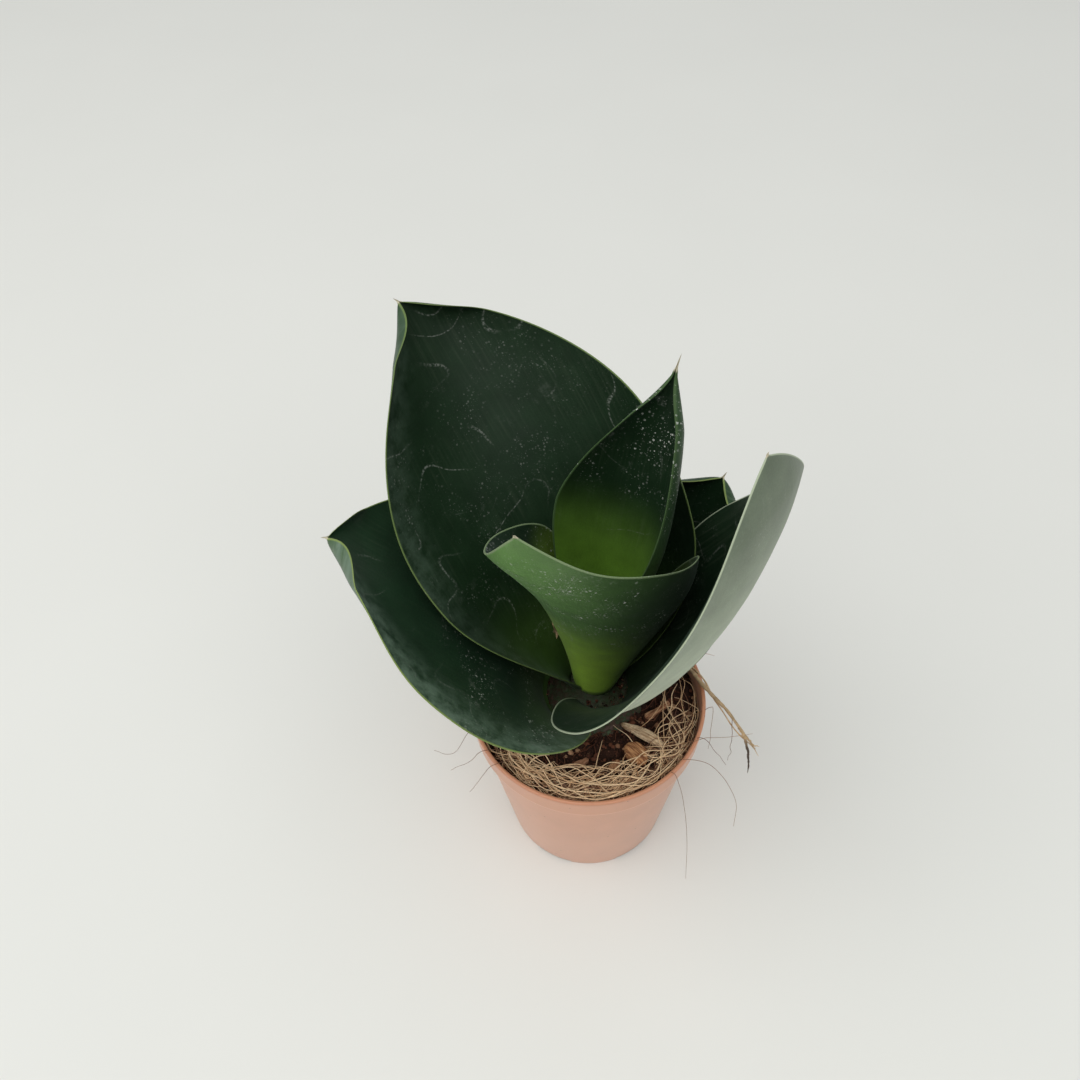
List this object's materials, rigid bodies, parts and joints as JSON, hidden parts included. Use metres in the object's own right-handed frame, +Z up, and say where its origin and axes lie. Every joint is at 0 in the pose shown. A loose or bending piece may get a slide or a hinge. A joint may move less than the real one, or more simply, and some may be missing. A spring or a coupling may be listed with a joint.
{
  "type": "potted snake plant",
  "caption": "Bird's-nest snake plant with broad cupped pointed leaves in a round tapered nursery pot of soil.",
  "frame": {"origin": "centre of the pot's underside, on the surface that the pot stands on", "axes": "+Z up along the pot's axis, -Y towards the side that the plant is looked at from, +X to the right"},
  "size_m": [0.0988, 0.0926, 0.1532],
  "materials": {
    "pot": "satin terracotta-coloured moulded plastic, finely marked",
    "soil": "rough dark peat crumbs and fibres",
    "stem": "fleshy pale green plant tissue, smooth",
    "coir_mat": "loose pale brown coir fibres",
    "dry_root": "dry straw-coloured root, finely wrinkled",
    "leaf_back": "very dark green waxy leaf with a bluish bloom and a thin yellow-green margin",
    "leaf_left": "dark green waxy leaf with a pale bloom and a thin yellow-green margin",
    "leaf_centre": "young bright green leaf with pale specks",
    "leaf_front": "mid green leaf back with fine lengthwise streaks and pale scuffs",
    "leaf_right": "pale grey-green leaf back with faint lengthwise streaks",
    "leaf_rear": "very dark green waxy leaf with a thin pale margin",
    "bark_chip_long": "pale rough split bark",
    "bark_chip_front": "orange-brown rough bark",
    "bark_chip_small": "brown rough bark",
    "bark_chip_left": "brown rough bark",
    "bark_chip_right": "pale brown rough bark",
    "bark_chip_rear": "brown rough bark"
  },
  "bodies": {
    "root": {"pot": "pot", "soil": "soil", "stem": "stem", "coir_mat": "coir_mat", "dry_root": "dry_root", "leaf_back": "leaf_back", "leaf_left": "leaf_left", "leaf_centre": "leaf_centre", "leaf_front": "leaf_front", "leaf_right": "leaf_right", "leaf_rear": "leaf_rear", "bark_chip_long": "bark_chip_long", "bark_chip_front": "bark_chip_front", "bark_chip_small": "bark_chip_small", "bark_chip_left": "bark_chip_left", "bark_chip_right": "bark_chip_right", "bark_chip_rear": "bark_chip_rear"}
  },
  "joints": []
}
